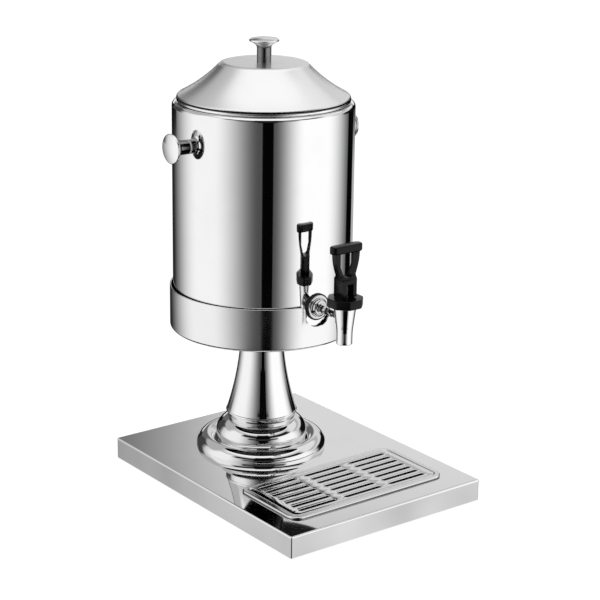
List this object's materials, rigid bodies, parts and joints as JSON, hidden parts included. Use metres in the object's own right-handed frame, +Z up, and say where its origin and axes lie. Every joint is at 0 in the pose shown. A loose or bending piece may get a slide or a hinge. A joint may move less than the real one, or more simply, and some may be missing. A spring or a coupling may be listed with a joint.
{
  "type": "milk dispenser",
  "caption": "Lidded round steel milk container in a holder cup on a turned pedestal, over a box base with a drip tray and grille, with a lever-worked spring-closing tap at the front.",
  "frame": {"origin": "middle of the base's footprint, on the surface that the rubber feet stand on", "axes": "+Z up, -Y towards the tap and the drip tray, +X to the right of a person facing the tap"},
  "size_m": [0.27, 0.35, 0.5141],
  "materials": {
    "mirror_steel": "mirror-polished stainless steel",
    "satin_steel": "fine satin stainless steel",
    "plain_steel": "plain rolled or turned steel, out of sight",
    "black_plastic": "moulded black plastic, semi-gloss",
    "black_rubber": "matt black rubber",
    "clear_silicone": "milky translucent silicone",
    "cooling_pack": "blue blow-moulded plastic"
  },
  "bodies": {
    "stand": {"base_shell": "mirror_steel", "base_backing_disc": "plain_steel", "base_standoffs": "plain_steel", "base_underplate": "plain_steel", "rubber_feet": "black_rubber", "foot_screws": "plain_steel", "pedestal_lower_ring": "mirror_steel", "pedestal_upper_ring": "mirror_steel", "pedestal_column": "mirror_steel", "tie_rod": "plain_steel", "tie_rod_washers": "plain_steel", "tie_rod_nuts": "plain_steel", "holder_cup": "mirror_steel", "cooling_pack": "cooling_pack"},
    "container": {"milk_container": "mirror_steel", "side_knob_left": "mirror_steel", "side_knob_right": "mirror_steel", "side_knob_washers": "plain_steel", "side_knob_seals": "clear_silicone", "side_knob_screws": "plain_steel", "tap_body": "mirror_steel", "tap_spout": "mirror_steel", "tap_flange": "mirror_steel", "tap_outer_gasket": "black_rubber", "tap_inner_gasket": "black_rubber", "tap_shank_nut": "plain_steel", "tap_collar": "black_plastic", "return_spring": "plain_steel"},
    "valve": {"valve_stem": "plain_steel", "valve_seat_cup": "clear_silicone"},
    "lever": {"tap_lever": "black_plastic", "lever_pin": "plain_steel"},
    "lid": {"lid_shell": "satin_steel", "lid_knob": "mirror_steel", "lid_knob_washer": "plain_steel", "lid_knob_screw": "plain_steel"},
    "tray": {"drip_tray": "satin_steel"},
    "grille": {"drip_grille": "satin_steel"}
  },
  "joints": [
    {"name": "container_lift", "type": "slide", "parent": "stand", "child": "container", "axis": [0, 0, 1], "range_m": [0, 0.06]},
    {"name": "lid_lift", "type": "slide", "parent": "container", "child": "lid", "axis": [0, 0, 1], "range_m": [0, 0.06]},
    {"name": "valve_lift", "type": "slide", "parent": "container", "child": "valve", "axis": [0, 0, 1], "range_m": [0, 0.0024], "deforming": ["return_spring"]},
    {"name": "tap_lever", "type": "hinge", "parent": "valve", "child": "lever", "pos_m": [0, -0.09, 0.2565], "axis": [1, 0, 0], "range_deg": [0, 30], "stiffness_Nm_per_rad": 0.05, "springref_deg": -68.75},
    {"name": "drip_tray_lift", "type": "slide", "parent": "stand", "child": "tray", "axis": [0, 0, 1], "range_m": [0, 0.04]},
    {"name": "grille_lift", "type": "slide", "parent": "tray", "child": "grille", "axis": [0, 0, 1], "range_m": [0, 0.03]}
  ],
  "couplings": [
    {"joint": "valve_lift", "follows": "tap_lever", "m_per_rad": 0.0042}
  ]
}
